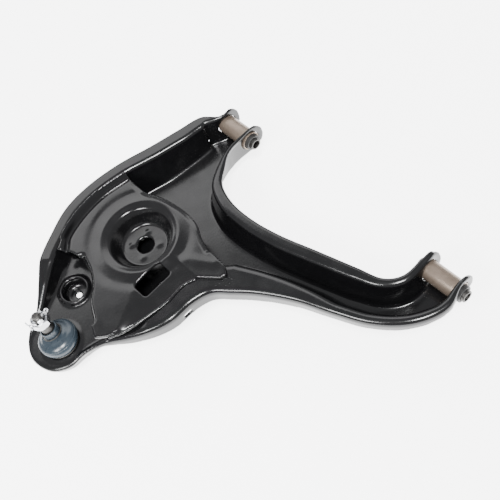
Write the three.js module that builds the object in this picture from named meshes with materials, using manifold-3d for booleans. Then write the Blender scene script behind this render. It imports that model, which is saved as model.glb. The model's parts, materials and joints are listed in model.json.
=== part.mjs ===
// Stamped front lower control arm with a coil-spring seat, a ball joint and two pivot bushings.
// Millimetres. X runs outboard from the pivot axis to the ball joint, Y runs along the pivot
// axis, Z is up. The arm is drawn with the pivot axis over x = 0 and moved to its bounding-box
// centre at the end.
import * as THREE from 'three';
import { mergeVertices } from 'three/addons/utils/BufferGeometryUtils.js';
import Module from 'manifold-3d';

const wasm = await Module();
wasm.setup();

// ---------------------------------------------------------------- driving dimensions
const gap = 0.3;                 // clearance kept between touching pieces
const sheet = 4.5;               // thickness of both pressings
const rimHeight = 50;            // top of the channel walls above the floor underside

const pivotHeight = 27;          // pivot axis above the floor underside
const straightLegY = -189;       // centre of the fork on the straight leg
const curvedLegY = 205;          // centre of the fork on the curved leg
const forkInside = 46;           // clear width between the two ears of a fork
const earRadius = 25;            // rounded end of an ear
const earHoleRadius = 14.8;

const bushingRadius = 14.5;      // outer sleeve
const bushingWall = 2;
const rubberProud = 6;           // rubber beyond the outer sleeve, each end
const innerSleeveProud = 5;      // inner sleeve beyond the rubber, each end
const innerSleeveRadius = 8.5;
const pivotBoltRadius = 6.2;

const ballX = 400;
const ballY = -140;
const ballHeight = 10;           // ball centre
const noseTop = 24;              // flat top of the nose that holds the ball joint
const noseRadius = 46;
const studLean = 14;             // degrees, towards -Y, as the stud hangs at rest

const ballRadius = 13;
const raceRadius = 16;           // outside of the polymer race that swivels with the stud
const housingRadius = 24;        // where the housing is pressed through the nose
const housingTop = 2;            // housing above the nose
const studNeckRadius = 7;
const studShoulderRadius = 10;
const studThreadRadius = 7;
const studTip = 78;              // all stud heights are measured from the ball centre
const nutBottom = 58;
const nutHeight = 16;
const nutAcrossFlats = 24;
const pinHeight = 71;            // cotter pin through the stud
const pinRadius = 1.4;

const seatX = 221;               // spring seat cup
const seatY = -156;
const seatTop = 55.3;            // flat top of the spring seat plate
const cupLipRadius = 54;
const cupBottomRadius = 32;
const cupDepth = 26;
const cupHoleRadius = 13;

// ---------------------------------------------------------------- materials
const paint = { color: 0x17181a, roughness: 0.28, metalness: 0.35 };
const bareSteel = { color: 0xb8a695, roughness: 0.45, metalness: 0.75 };
const darkSteel = { color: 0x4a4a4c, roughness: 0.4, metalness: 0.85 };
const zinc = { color: 0xd4d6d8, roughness: 0.25, metalness: 0.9 };
const rubber = { color: 0x1b1b1c, roughness: 0.8, metalness: 0 };
const bootRubber = { color: 0x5d6c78, roughness: 0.45, metalness: 0 };
const polymer = { color: 0xd9d4c2, roughness: 0.5, metalness: 0 };

// ---------------------------------------------------------------- solid modelling helpers
function toSolid(geometry) {
  const bare = geometry.clone();
  bare.deleteAttribute('normal');
  bare.deleteAttribute('uv');
  const merged = mergeVertices(bare, 1e-4);
  return new wasm.Manifold(new wasm.Mesh({
    numProp: 3,
    vertProperties: Float32Array.from(merged.attributes.position.array),
    triVerts: Uint32Array.from(merged.index.array),
  }));
}

// Removes the needles and zero-height triangles that booleans leave, so that every face has an area.
function dropSlivers(points, faces) {
  const shortest = 0.2;
  const flattest = 0.04;
  const edgeKey = (a, b) => `${a} ${b}`;
  let changed = true;
  for (let round = 0; changed && round < 200; round += 1) {
    changed = false;
    const owner = new Map();
    const around = new Map();
    faces.forEach((face, index) => face.forEach((a, corner) => {
      const b = face[(corner + 1) % 3];
      owner.set(edgeKey(a, b), index);
      if (!around.has(a)) around.set(a, new Set());
      around.get(a).add(b).add(face[(corner + 2) % 3]);
    }));
    const touched = new Set();
    for (const face of faces) {
      if (face.some((corner) => touched.has(corner))) continue;
      const lengths = face.map((a, corner) => points[a].distanceTo(points[face[(corner + 1) % 3]]));
      const short = lengths.indexOf(Math.min(...lengths));
      const long = lengths.indexOf(Math.max(...lengths));
      const area = new THREE.Triangle(...face.map((corner) => points[corner])).getArea();
      if (lengths[short] < shortest) {
        const keep = face[short];
        const drop = face[(short + 1) % 3];
        const shared = [...around.get(keep)].filter((corner) => around.get(drop).has(corner));
        if (shared.length !== 2) continue;
        [...around.get(drop), ...around.get(keep)].forEach((corner) => touched.add(corner));
        faces.forEach((other) => {
          const place = other.indexOf(drop);
          if (place >= 0) other[place] = keep;
        });
        changed = true;
      } else if (2 * area / lengths[long] < flattest) {
        const [a, b, c] = [0, 1, 2].map((step) => face[(long + step) % 3]);
        const opposite = faces[owner.get(edgeKey(b, a))];
        const d = opposite.find((corner) => corner !== a && corner !== b);
        if (touched.has(d) || around.get(c).has(d)) continue;
        [a, b, c, d].forEach((corner) => touched.add(corner));
        face.splice(0, 3, c, d, b);
        opposite.splice(0, 3, c, a, d);
        changed = true;
      }
    }
    faces = faces.filter(([a, b, c]) => a !== b && b !== c && c !== a);
  }
  return faces;
}

function toGeometry(solid) {
  const mesh = solid.simplify(0.02).getMesh();
  const points = [];
  for (let index = 0; index < mesh.vertProperties.length; index += 3) {
    points.push(new THREE.Vector3().fromArray(mesh.vertProperties, index));
  }
  const faces = [];
  for (let index = 0; index < mesh.triVerts.length; index += 3) {
    faces.push(Array.from(mesh.triVerts.slice(index, index + 3)));
  }
  const geometry = new THREE.BufferGeometry().setFromPoints(points);
  geometry.setIndex(dropSlivers(points, faces).flat());
  return geometry;
}

function box(xMin, xMax, yMin, yMax, zMin, zMax) {
  const geometry = new THREE.BoxGeometry(xMax - xMin, yMax - yMin, zMax - zMin);
  geometry.translate((xMin + xMax) / 2, (yMin + yMax) / 2, (zMin + zMax) / 2);
  return toSolid(geometry);
}

// A cylinder between two heights, standing on (x, y).
function post(x, y, zMin, zMax, radius, segments = 32) {
  const geometry = new THREE.CylinderGeometry(radius, radius, zMax - zMin, segments);
  geometry.rotateX(Math.PI / 2);
  geometry.translate(x, y, (zMin + zMax) / 2);
  return toSolid(geometry);
}

// A cylinder on the pivot axis between two Y values.
function pivotCylinder(yMin, yMax, radius, segments = 32) {
  const geometry = new THREE.CylinderGeometry(radius, radius, yMax - yMin, segments);
  geometry.translate(0, (yMin + yMax) / 2, pivotHeight);
  return toSolid(geometry);
}

// A prism over a closed plan outline (array of Vector2).
function prism(outline, zMin, zMax) {
  const geometry = new THREE.ExtrudeGeometry(new THREE.Shape(outline), {
    depth: zMax - zMin,
    bevelEnabled: false,
    curveSegments: 1,
  });
  geometry.translate(0, 0, zMin);
  return toSolid(geometry);
}

// A turned shape about Z: the profile is a list of [radius, height], in either direction.
function turned(profile, segments = 40) {
  const points = profile.map(([radius, height]) => new THREE.Vector2(radius, height));
  if (THREE.ShapeUtils.area(points) < 0) points.reverse();
  const geometry = new THREE.LatheGeometry(points, segments);
  geometry.rotateX(Math.PI / 2);
  return geometry;
}

// Points of a circular arc in [radius, height] form, about (0, 0), angles from the axis in degrees.
function sphereArc(radius, fromDegrees, toDegrees, steps) {
  const points = [];
  for (let step = 0; step <= steps; step += 1) {
    const angle = THREE.MathUtils.degToRad(fromDegrees + (toDegrees - fromDegrees) * step / steps);
    points.push([radius * Math.sin(angle), radius * Math.cos(angle)]);
  }
  return points;
}

function makeMesh(name, geometry, look) {
  const shaded = geometry.index ? geometry : mergeVertices(geometry);
  shaded.computeVertexNormals();
  const mesh = new THREE.Mesh(shaded, new THREE.MeshStandardMaterial(look));
  mesh.name = name;
  return mesh;
}

// ---------------------------------------------------------------- the shell's rim
// Each station of the rim: plan position of the outer edge, width of the flange between that
// edge and the wall, height of its down-turned lip, lean of the wall from rim to floor, height.
const station = (x, y, flange, lip, lean, height = rimHeight) => ({ x, y, flange, lip, lean, height });
const halfFork = forkInside / 2 + sheet;

const rim = [
  // outer side of the straight leg, from the ear to the nose
  station(-30, straightLegY - halfFork, 0.2, 1, 1),
  station(2, straightLegY - halfFork - 1, 0.5, 1, 1),
  station(22, -242, 18, 1, 4),
  station(60, -254, 21, 1, 8),
  station(105, -267, 21, 1, 14),
  station(160, -285, 20, 1, 16),
  station(215, -294, 20, 1, 16),
  station(262, -291, 20, 1, 16),
  station(305, -274, 20, 1, 16),
  station(342, -254, 20, 1, 14),
  station(368, -228, 12, 1, 10, 44),
  station(398, -202, 5, 1, 6, 33),
  // the nose, round the ball joint
  station(430, -184, 1, 1, 4, noseTop + 2),
  station(ballX + noseRadius, ballY - 14, 1, 1, 3, noseTop),
  station(438, -118, 1, 1, 3, noseTop),
  station(415, -101, 1, 1, 3, noseTop),
  station(388, -98, 1, 1, 3, noseTop + 2),
  // near side, past the spring seat
  station(362, -84, 6, 6, 5, 33),
  station(338, -60, 16, 14, 7, 42),
  station(310, -38, 26, 18, 8, 48),
  station(278, -24, 32, 20, 8),
  station(240, -21, 34, 20, 8),
  station(215, -12, 38, 20, 8),
  station(198, 8, 42, 20, 8),
  station(176, 38, 33, 20, 8),
  // outer side of the curved leg
  station(150, 86, 22, 18, 8),
  station(132, 135, 14, 16, 8),
  station(113, 180, 13, 15, 8),
  station(88, 214, 13, 14, 7),
  station(60, 235, 13, 12, 5),
  station(30, 244, 11, 10, 3),
  station(0, curvedLegY + halfFork + 3, 3, 5, 1),
  station(-30, curvedLegY + halfFork, 0.2, 1, 1),
  // inner side of the curved leg, round the gap between the legs
  station(-30, curvedLegY - halfFork, 0.2, 1, 1),
  station(0, curvedLegY - halfFork - 6, 6, 1, 1),
  station(34, 168, 9, 1, 3),
  station(52, 152, 10, 1, 5),
  station(62, 115, 14, 1, 8),
  station(77, 55, 16, 1, 8),
  station(91, 0, 16, 1, 8),
  station(98, -50, 15, 1, 8),
  station(96, -95, 15, 1, 8),
  station(84, -127, 13, 1, 8),
  station(63, -144, 10, 1, 6),
  station(40, straightLegY + halfFork + 3, 3, 1, 3),
  station(0, straightLegY + halfFork, 0.2, 1, 1),
  station(-30, straightLegY + halfFork, 0.2, 1, 1),
];

// Runs a smooth curve through the stations and returns evenly spread samples with outward normals.
function sampleRim(count) {
  const corners = rim.map((s) => new THREE.Vector3(s.x, s.y, 0));
  const path = new THREE.CatmullRomCurve3(corners, true, 'centripetal');
  const samples = [];
  const perSpan = count / rim.length;
  for (let index = 0; index < count; index += 1) {
    const place = index / perSpan;
    const from = rim[Math.floor(place)];
    const to = rim[(Math.floor(place) + 1) % rim.length];
    const blend = place - Math.floor(place);
    const mix = (key) => from[key] + (to[key] - from[key]) * blend;
    const t = index / count;
    const point = path.getPoint(t);
    const along = path.getTangent(t);
    samples.push({
      point: new THREE.Vector2(point.x, point.y),
      outward: new THREE.Vector2(along.y, -along.x),
      flange: mix('flange'),
      lip: mix('lip'),
      lean: mix('lean'),
      height: mix('height'),
    });
  }
  return samples;
}

const rimSamples = sampleRim(rim.length * 3);

// Ear clipping that keeps every point of a counter-clockwise outline, also those on straight runs.
function clipEars(outline) {
  const cross = (a, b, c) => (b.x - a.x) * (c.y - a.y) - (b.y - a.y) * (c.x - a.x);
  const left = outline.map((_, index) => index);
  const triangles = [];
  while (left.length > 3) {
    let best = -1;
    let bestQuality = 0;
    for (let place = 0; place < left.length; place += 1) {
      const trio = [-1, 0, 1].map((step) => left[(place + step + left.length) % left.length]);
      const [a, b, c] = trio.map((index) => outline[index]);
      const area = cross(a, b, c);
      const quality = area / (a.distanceToSquared(c) + 1);
      if (quality <= bestQuality) continue;
      const blocked = left.some((index) => !trio.includes(index)
        && cross(a, b, outline[index]) >= 0
        && cross(b, c, outline[index]) >= 0
        && cross(c, a, outline[index]) >= 0);
      if (blocked) continue;
      best = place;
      bestQuality = quality;
    }
    if (best < 0) throw new Error(`the outline crosses itself near ${outline[left[0]].toArray()}`);
    triangles.push([-1, 0, 1].map((step) => left[(best + step + left.length) % left.length]));
    left.splice(best, 1);
  }
  triangles.push(left);
  return triangles;
}

// Skins a solid over the rim: section(sample) gives [distance inside the edge, height] pairs.
function loftOverRim(section) {
  const rings = rimSamples.map((sample) => section(sample).map(([inset, height]) => [
    sample.point.x - sample.outward.x * inset,
    sample.point.y - sample.outward.y * inset,
    height,
  ]));
  const count = rings.length;
  const levels = rings[0].length;
  const positions = rings.flat(2);
  const at = (around, level) => (around % count) * levels + level;
  const faces = [];
  for (let around = 0; around < count; around += 1) {
    for (let level = 0; level + 1 < levels; level += 1) {
      faces.push(at(around, level), at(around + 1, level), at(around + 1, level + 1));
      faces.push(at(around, level), at(around + 1, level + 1), at(around, level + 1));
    }
  }
  const outlineAt = (level) => rings.map((ring) => new THREE.Vector2(ring[level][0], ring[level][1]));
  for (const [a, b, c] of clipEars(outlineAt(0))) faces.push(at(a, 0), at(c, 0), at(b, 0));
  const last = levels - 1;
  for (const [a, b, c] of clipEars(outlineAt(last))) faces.push(at(a, last), at(b, last), at(c, last));
  const geometry = new THREE.BufferGeometry();
  geometry.setAttribute('position', new THREE.BufferAttribute(Float32Array.from(positions), 3));
  geometry.setIndex(faces);
  return toSolid(geometry);
}

// ---------------------------------------------------------------- spring seat plate outline
const toPoints = (pairs) => pairs.map(([x, y]) => new THREE.Vector2(x, y));

// A smooth curve through a few plan points.
function smooth(pairs, divisions) {
  return new THREE.SplineCurve(toPoints(pairs)).getPoints(divisions);
}

// Outboard edge of the plate, where it turns down onto the nose.
const seatEdge = smooth([[314, -240], [304, -222], [300, -199], [307, -176], [320, -155], [338, -137],
  [352, -112]], 18);

const plateOutline = [
  ...smooth([[164, -257], [215, -266.5], [262, -263], [298, -251]], 10),
  ...seatEdge,
  ...toPoints([[365, -86], [352, -74], [331, -63], [292, -54], [262, -49], [231, -50], [212, -42]]),
  ...toPoints([[191, -14], [182, -12], [174, -24]]),
  ...smooth([[172, -62], [165, -84], [155, -104], [151, -130], [153, -160], [158, -186], [166, -208],
    [167, -236]], 16),
];

// ---------------------------------------------------------------- main shell
const seatStep = 6;               // the floor steps up this far inside the plate's outboard edge
const bumpStopX = 337;
const bumpStopY = -187;
const dishRadius = 18;            // dish for the bump stop, with a collar round its mouth
const dishBottom = 8;
const dishHoleRadius = 4;
const dishWall = 2.5;
const collarRadius = 24;
const collarHeight = 5;
const shockBoltSpacing = 44;      // two bolts hold the shock absorber's cross pin to the floor
const shockBoltRadius = 5.5;
const lipHoleX = 253;             // drain slot in the near side's down-turned lip
const lipHoleLength = 14;
const lipHoleBottom = 30;
const lipHoleTop = 36;

// Everything outboard of the floor's step.
function outboardRegion(shift) {
  const edge = seatEdge.map((point) => new THREE.Vector2(point.x - seatStep + shift, point.y));
  return [
    ...toPoints([[300 + shift, -320]]),
    ...edge,
    ...toPoints([[372 + shift, -60], [380 + shift, 0], [520, 0], [520, -320]]),
  ];
}

function outerSkin() {
  return loftOverRim((s) => [
    [s.flange + s.lean + 8, 0],
    [s.flange + s.lean + 1, 6],
    [s.flange, s.height - sheet],
    [Math.min(sheet, s.flange * 0.5), s.height - sheet],
    [Math.min(sheet, s.flange * 0.5 + 0.3), s.height - sheet - s.lip],
    [0, s.height - sheet - s.lip],
    [0, s.height - 2.5],
    [2.5, s.height],
  ]);
}

function innerPocket() {
  return loftOverRim((s) => [
    [s.flange + s.lean + sheet + 6, sheet],
    [s.flange + s.lean + sheet + 1, sheet + 5],
    [s.flange + sheet, s.height - 3],
    [s.flange + sheet - 1.5, s.height + 12],
  ]);
}

// The hollow below the nose, which is open underneath.
function underNose() {
  const pocket = loftOverRim((s) => [
    [s.flange + sheet + s.lean, -20],
    [s.flange + sheet + s.lean + 1, noseTop - sheet],
  ]);
  return pocket.intersect(prism(outboardRegion(sheet), -30, noseTop - sheet));
}

// Opens a leg's end between its ears, rounds the ears and drills them.
function forkCuts(centreY) {
  const floorEnd = 8;            // the floor starts this far outboard of the pivot axis
  const inside = box(-60, floorEnd, centreY - forkInside / 2, centreY + forkInside / 2, -5, 80);
  const beyondEars = box(-60, 0, centreY - 60, centreY + 60, -20, 90)
    .subtract(pivotCylinder(centreY - 70, centreY + 70, earRadius, 36));
  const holes = pivotCylinder(centreY - 60, centreY + 60, earHoleRadius, 32);
  return inside.add(beyondEars).add(holes);
}

// The collar round the bump stop's seat, and the dish below it with a small hole in its floor.
function bumpStopDish() {
  const outside = dishRadius + dishWall;
  return toSolid(turned([
    [dishHoleRadius, dishBottom],
    [outside - 2, dishBottom],
    [outside, dishBottom + 2],
    [outside, noseTop - 1],
    [collarRadius, noseTop - 1],
    [collarRadius, noseTop + collarHeight - 2],
    [collarRadius - 2, noseTop + collarHeight],
    [dishRadius, noseTop + collarHeight],
    [dishRadius, dishBottom + dishWall],
    [dishHoleRadius, dishBottom + dishWall],
    [dishHoleRadius, dishBottom],
  ], 40).translate(bumpStopX, bumpStopY, 0));
}

function mainShell() {
  const nose = prism(outboardRegion(0), -30, noseTop);
  const cuts = [
    innerPocket().subtract(nose),
    underNose(),
    forkCuts(straightLegY),
    forkCuts(curvedLegY),
    post(bumpStopX, bumpStopY, 0, noseTop + 20, dishRadius),
    post(ballX, ballY, -30, 60, housingRadius + gap, 40),
    post(seatX - shockBoltSpacing / 2, seatY, -5, sheet + 5, shockBoltRadius, 16),
    post(seatX + shockBoltSpacing / 2, seatY, -5, sheet + 5, shockBoltRadius, 16),
    box(lipHoleX - lipHoleLength / 2, lipHoleX + lipHoleLength / 2, -30, -10, lipHoleBottom, lipHoleTop),
  ];
  return toGeometry(cuts.reduce((body, cut) => body.subtract(cut), outerSkin()).add(bumpStopDish()));
}

// ---------------------------------------------------------------- spring seat plate
const plateBottom = rimHeight + gap;
const slotX = 254;
const slotY = -90;
const slotLength = 48;
const slotWidth = 26;

// A band of the plate's material that follows an open run of points, on its left-hand side.
function stripAlong(points, width, zMin, zMax) {
  const inner = points.map((point, index) => {
    const before = points[Math.max(index - 1, 0)];
    const after = points[Math.min(index + 1, points.length - 1)];
    const along = after.clone().sub(before).normalize();
    return new THREE.Vector2(point.x - along.y * width, point.y + along.x * width);
  });
  return prism([...points, ...inner.reverse()], zMin, zMax);
}

function springCup() {
  const bottom = seatTop - cupDepth;
  return toSolid(turned([
    [cupHoleRadius, bottom - sheet],
    [cupBottomRadius - 3, bottom - sheet],
    [cupBottomRadius + 3, bottom - sheet + 3],
    [cupLipRadius - 9, seatTop - 13],
    [cupLipRadius - 3, plateBottom],
    [cupLipRadius + 2, plateBottom],
    [cupLipRadius + 2, seatTop],
    [cupLipRadius, seatTop],
    [cupLipRadius - 4, seatTop - 5],
    [cupBottomRadius + 3, bottom + 4],
    [cupBottomRadius - 2, bottom],
    [cupHoleRadius, bottom],
    [cupHoleRadius, bottom - sheet],
  ], 48).translate(seatX, seatY, 0));
}

function springSeatPlate() {
  const flangeRise = 5;
  const leftEdge = plateOutline.slice(0, 11);
  const downTurn = seatEdge.slice(2);
  const flat = prism(plateOutline, plateBottom, seatTop)
    .subtract(post(seatX, seatY, 0, 90, cupLipRadius, 48))
    .subtract(box(slotX - slotLength / 2, slotX + slotLength / 2, slotY - slotWidth / 2,
      slotY + slotWidth / 2, 0, 90));
  return toGeometry(flat
    .add(springCup())
    .add(stripAlong(leftEdge, sheet, plateBottom, seatTop + flangeRise))
    .add(stripAlong(downTurn, sheet, noseTop + gap, seatTop - 1)));
}

// ---------------------------------------------------------------- ball joint
// Profiles are [radius, height above the ball centre].
const noseLevel = noseTop - ballHeight;
const cavityRadius = raceRadius + gap;
const coverRadius = 20.7;
const coverTop = -18.3;
const coverBottom = -20.6;

function ballJointHousing() {
  const flangeRadius = housingRadius + 3;
  const collar = housingRadius - 3;
  return turned([
    ...sphereArc(cavityRadius, 54.8, 90, 5),
    [cavityRadius, coverTop + gap],
    [coverRadius + gap, coverTop + gap],
    [coverRadius + gap, coverBottom - gap],
    [coverRadius + 2.5, coverBottom - gap],
    [flangeRadius, coverTop + 1],
    [flangeRadius, noseLevel - sheet - gap],
    [housingRadius, noseLevel - sheet - gap],
    [housingRadius, noseLevel],
    [collar, noseLevel],
    [collar, noseLevel + housingTop],
    [collar - 4, noseLevel + housingTop],
    sphereArc(cavityRadius, 54.8, 90, 5)[0],
  ], 36);
}

// The polymer race grips the ball and swivels in the housing's round cavity.
function ballJointRace() {
  const outside = sphereArc(raceRadius, 48, 150, 8);
  const inside = sphereArc(ballRadius + gap, 150, 48, 8);
  return turned([...outside, ...inside, outside[0]], 28);
}

function preloadWasher() {
  return turned([[5, -17.7], [15.5, -17.7], [15.5, -16.4], [5, -16.9], [5, -17.7]], 32);
}

function coverPlate() {
  return turned([
    [3.4, coverTop],
    [3.4, coverBottom],
    [coverRadius, coverBottom],
    [coverRadius, coverTop],
    [3.4, coverTop],
  ], 32);
}

function greaseFitting() {
  return turned([
    [0, coverTop],
    [3, coverTop],
    [3, coverBottom - gap],
    [4.6, coverBottom - gap],
    [4.6, coverBottom - 4],
    [2.2, coverBottom - 5],
    [2.9, coverBottom - 7],
    [1.6, coverBottom - 8.4],
    [0, coverBottom - 8.4],
  ], 20);
}

function ballStud() {
  const neckAngle = THREE.MathUtils.radToDeg(Math.asin(studNeckRadius / ballRadius));
  const body = toSolid(turned([
    [0, studTip],
    [studThreadRadius - 1.2, studTip],
    [studThreadRadius, studTip - 1.2],
    [studThreadRadius, nutBottom - 1],
    [studThreadRadius + 1.2, nutBottom - 2],
    [studShoulderRadius, 38],
    [studShoulderRadius, 30],
    [studNeckRadius, 23],
    ...sphereArc(ballRadius, neckAngle, 180, 14),
  ], 32));
  const pinHole = new THREE.CylinderGeometry(pinRadius + gap, pinRadius + gap, 40, 12);
  pinHole.rotateZ(Math.PI / 2);
  pinHole.translate(0, 0, pinHeight);
  return toGeometry(body.subtract(toSolid(pinHole)));
}

// A hexagon nut with a round castellated crown, slotted six ways for the cotter pin.
function castleNut() {
  const slotDepth = 6;
  const slotGap = 4;
  const crownRadius = 10.8;
  const corner = nutAcrossFlats / Math.sqrt(3);
  const nutTop = nutBottom + nutHeight;
  const crownBottom = nutTop - slotDepth - 0.5;
  const hexagon = [];
  for (let side = 0; side < 6; side += 1) {
    const angle = side * Math.PI / 3;
    hexagon.push(new THREE.Vector2(corner * Math.cos(angle), corner * Math.sin(angle)));
  }
  const cone = toSolid(turned([
    [0, nutBottom],
    [corner - 1.2, nutBottom],
    [corner + 0.4, nutBottom + 1.4],
    [corner + 0.4, crownBottom - 1.4],
    [corner - 1.6, crownBottom],
    [crownRadius, crownBottom],
    [crownRadius, nutTop - 0.8],
    [crownRadius - 0.8, nutTop],
    [0, nutTop],
  ], 36));
  let nut = prism(hexagon, nutBottom - 1, nutTop + 1).intersect(cone);
  nut = nut.subtract(post(0, 0, nutBottom - 2, nutTop + 2, studThreadRadius + gap, 32));
  for (let slot = 0; slot < 3; slot += 1) {
    const cutter = new THREE.BoxGeometry(40, slotGap, slotDepth * 2);
    cutter.translate(0, 0, nutTop);
    cutter.rotateZ(slot * Math.PI / 3);
    nut = nut.subtract(toSolid(cutter));
  }
  return toGeometry(nut);
}

// A tube along a smooth route, with flat ends.
function rod(route, radius, steps, sides = 10) {
  const ring = [];
  for (let side = 0; side < sides; side += 1) {
    const angle = side * 2 * Math.PI / sides;
    ring.push(new THREE.Vector2(radius * Math.cos(angle), radius * Math.sin(angle)));
  }
  const path = new THREE.CatmullRomCurve3(route.map(([x, y, z]) => new THREE.Vector3(x, y, z)));
  return toSolid(new THREE.ExtrudeGeometry(new THREE.Shape(ring), {
    steps,
    bevelEnabled: false,
    extrudePath: path,
  }));
}

// Cotter pin: a straight shank with an eye on one side and two splayed tails on the other.
function cotterPin() {
  const reach = 13;
  const eye = new THREE.TorusGeometry(2.6, pinRadius * 0.8, 8, 16);
  eye.rotateX(Math.PI / 2);
  eye.translate(-reach - 2.4, 0, pinHeight);
  const shank = rod([[-reach, 0, pinHeight], [0, 0, pinHeight], [reach, 0, pinHeight]], pinRadius, 4);
  const upper = rod([[reach - 1, 0, pinHeight], [reach + 1.5, 0, pinHeight + 0.6],
    [reach + 2.6, 0, pinHeight + 3], [reach + 2.4, 0, pinHeight + 9]], pinRadius * 0.75, 6);
  const lower = rod([[reach - 1, 0, pinHeight], [reach + 1.5, 0, pinHeight - 0.6],
    [reach + 2.6, 0, pinHeight - 3], [reach + 2.4, 0, pinHeight - 8]], pinRadius * 0.75, 6);
  return toGeometry(toSolid(eye).add(shank).add(upper).add(lower));
}

// The boot stands square on the housing and bends over to follow the leaning stud.
const bootBase = noseLevel + gap;
const bootTop = 36;
const clampWire = 1.1;
const clampHeight = 16.6;
const topWire = 0.9;
const topRingRadius = 13.9;
const topRingHeight = 35.2;

function ballJointBoot() {
  const boot = turned([
    [housingRadius - 2.7, bootBase],
    [housingRadius, bootBase],
    [housingRadius, 19],
    [28, 21.5],
    [29, 24.5],
    [27.5, 28],
    [23, 31.5],
    [16, 33],
    [13, 34],
    [12.6, bootTop],
    [studShoulderRadius + gap, bootTop],
    [studShoulderRadius + gap, 31.5],
    [15, 30.5],
    [22, 29],
    [25.5, 26.8],
    [26.6, 24.5],
    [26, 22.6],
    [housingRadius - 2.7, 20],
    [housingRadius - 2.7, bootBase],
  ], 32);
  const position = boot.attributes.position;
  const point = new THREE.Vector3();
  const across = new THREE.Vector3(1, 0, 0);
  for (let index = 0; index < position.count; index += 1) {
    point.fromBufferAttribute(position, index);
    const share = THREE.MathUtils.smoothstep(point.z, 19, 31);
    point.applyAxisAngle(across, THREE.MathUtils.degToRad(studLean) * share);
    position.setXYZ(index, point.x, point.y, point.z);
  }
  return boot;
}

// A round wire ring about the ball's axis.
function wireRing(radius, height, wire) {
  const ring = new THREE.TorusGeometry(radius, wire, 6, 32);
  ring.translate(0, 0, height);
  return ring;
}

const ballCentre = new THREE.Vector3(ballX, ballY, ballHeight);

function fixedBallPieces() {
  const group = new THREE.Group();
  group.position.copy(ballCentre);
  group.add(
    makeMesh('ball_joint_housing', ballJointHousing(), darkSteel),
    makeMesh('ball_joint_preload_washer', preloadWasher(), darkSteel),
    makeMesh('ball_joint_cover', coverPlate(), darkSteel),
    makeMesh('grease_fitting', greaseFitting(), zinc),
    makeMesh('ball_joint_boot', ballJointBoot(), bootRubber),
    makeMesh('boot_clamp_ring', wireRing(housingRadius + clampWire + gap, clampHeight, clampWire), darkSteel),
  );
  return group;
}

function leaningBallPieces() {
  const group = new THREE.Group();
  group.position.copy(ballCentre);
  group.rotation.x = THREE.MathUtils.degToRad(studLean);
  group.add(
    makeMesh('ball_joint_race', ballJointRace(), polymer),
    makeMesh('boot_top_ring', wireRing(topRingRadius, topRingHeight, topWire), darkSteel),
    makeMesh('ball_stud', ballStud(), darkSteel),
    makeMesh('castle_nut', castleNut(), zinc),
    makeMesh('cotter_pin', cotterPin(), zinc),
  );
  return group;
}

// ---------------------------------------------------------------- pivot bushings
// A tube about the local Y axis, centred on the origin.
function pivotTube(inner, outer, halfLength) {
  return turned([
    [inner, -halfLength],
    [outer - 0.6, -halfLength],
    [outer, -halfLength + 0.6],
    [outer, halfLength - 0.6],
    [outer - 0.6, halfLength],
    [inner, halfLength],
    [inner, -halfLength],
  ], 32).rotateX(Math.PI / 2);
}

function bushing(leg, centreY) {
  const sleeveHalf = forkInside / 2 + sheet + 1;
  const rubberHalf = sleeveHalf + rubberProud;
  const innerHalf = rubberHalf + innerSleeveProud;
  const group = new THREE.Group();
  group.position.set(0, centreY, pivotHeight);
  group.add(
    makeMesh(`${leg}_bushing_outer_sleeve`,
      pivotTube(bushingRadius - bushingWall, bushingRadius, sleeveHalf), bareSteel),
    makeMesh(`${leg}_bushing_rubber`,
      pivotTube(innerSleeveRadius + gap, bushingRadius - bushingWall - gap, rubberHalf), rubber),
    makeMesh(`${leg}_bushing_inner_sleeve`,
      pivotTube(pivotBoltRadius, innerSleeveRadius, innerHalf), darkSteel),
  );
  return group;
}

// ---------------------------------------------------------------- the arm
const pieces = new THREE.Group();
pieces.add(
  makeMesh('main_shell', mainShell(), paint),
  makeMesh('spring_seat_plate', springSeatPlate(), paint),
  fixedBallPieces(),
  leaningBallPieces(),
  bushing('straight_leg', straightLegY),
  bushing('curved_leg', curvedLegY),
);

// Move the arm so that its bounding box is centred over the origin and stands on z = 0.
const bounds = new THREE.Box3().setFromObject(pieces, true);
const centre = bounds.getCenter(new THREE.Vector3());
pieces.position.set(-centre.x, -centre.y, -bounds.min.z);

const arm = new THREE.Group();
arm.add(pieces);

export default arm;
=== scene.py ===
"""Looks of the stamped control arm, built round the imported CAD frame.

Shapes are worked out in the arm's own millimetres, as in the CAD source: the pivot axis lies over x = 0,
the floor's underside is z = 0. row() turns such a point into metres in the row frame.
"""
import json
import math

import bmesh
import bpy
import numpy as np
from mathutils import Matrix, Vector


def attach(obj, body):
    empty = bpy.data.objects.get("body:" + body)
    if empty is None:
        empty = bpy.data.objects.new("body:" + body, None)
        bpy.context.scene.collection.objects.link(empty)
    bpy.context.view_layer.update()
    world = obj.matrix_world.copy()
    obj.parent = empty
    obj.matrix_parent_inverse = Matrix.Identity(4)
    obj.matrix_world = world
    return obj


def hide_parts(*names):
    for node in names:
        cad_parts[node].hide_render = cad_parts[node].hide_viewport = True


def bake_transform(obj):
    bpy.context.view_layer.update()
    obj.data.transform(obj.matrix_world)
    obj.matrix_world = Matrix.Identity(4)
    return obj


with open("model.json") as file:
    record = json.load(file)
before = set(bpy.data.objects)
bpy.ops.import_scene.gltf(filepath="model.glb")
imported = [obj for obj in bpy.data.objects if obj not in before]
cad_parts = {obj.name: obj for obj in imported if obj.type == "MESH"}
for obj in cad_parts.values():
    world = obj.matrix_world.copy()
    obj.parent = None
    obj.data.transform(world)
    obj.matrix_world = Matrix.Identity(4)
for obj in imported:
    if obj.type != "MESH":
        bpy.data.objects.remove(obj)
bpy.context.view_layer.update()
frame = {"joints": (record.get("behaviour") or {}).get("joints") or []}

# ------------------------------------------------------------------ driving dimensions, millimetres
SHEET = 4.5
RIM = 50.0
PIVOT_HEIGHT = 27.0
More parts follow.
